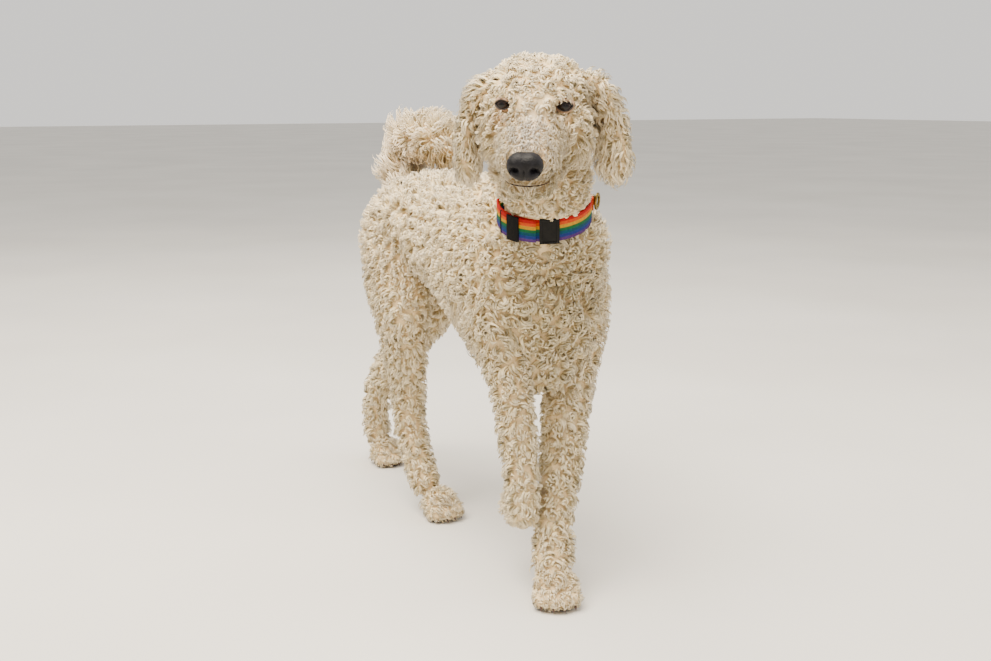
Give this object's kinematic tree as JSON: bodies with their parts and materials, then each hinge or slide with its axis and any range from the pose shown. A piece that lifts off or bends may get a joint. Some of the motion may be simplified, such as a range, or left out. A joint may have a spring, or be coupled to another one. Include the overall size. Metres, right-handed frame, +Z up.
{
  "type": "standard poodle",
  "caption": "Life-size still model of a cream standard poodle in mid step, head turned to the viewer, in a short curly clip and a striped collar.",
  "frame": {"origin": "on the floor under the middle of the dog's outline", "axes": "+Z up, the dog faces -Y, +X to the dog's left; +Y runs from the nose to the hind feet"},
  "size_m": [0.3192, 0.9142, 0.7296],
  "materials": {
    "coat": "dense soft curly wool coat, cream with warmer tan between the curls",
    "nose_leather": "fine pebbled black nose skin, slightly moist",
    "eye": "wet dark brown eyeball",
    "collar_webbing": "woven polyester webbing in rainbow stripes",
    "collar_rubber": "matt black moulded rubber",
    "collar_ring": "dull antique brass wire ring"
  },
  "bodies": {
    "root": {"chest": "coat", "loin": "coat", "neck": "coat", "tail_root": "coat", "tail_plume": "coat", "upper_arm_left": "coat", "forearm_left": "coat", "paw_fore_left": "coat", "upper_arm_right": "coat", "forearm_right": "coat", "pastern_right": "coat", "paw_fore_right": "coat", "thigh_right": "coat", "shank_right": "coat", "hock_right": "coat", "paw_hind_right": "coat", "thigh_left": "coat", "shank_left": "coat", "hock_left": "coat", "paw_hind_left": "coat", "head": "coat", "lower_jaw": "coat", "nose": "nose_leather", "ear_right": "coat", "ear_left": "coat", "eye_left": "eye", "eye_right": "eye", "collar_band": "collar_webbing", "collar_strap_end": "collar_webbing", "collar_sleeve": "collar_rubber", "collar_patch": "collar_rubber", "collar_tab": "collar_webbing", "collar_ring": "collar_ring"}
  },
  "joints": []
}
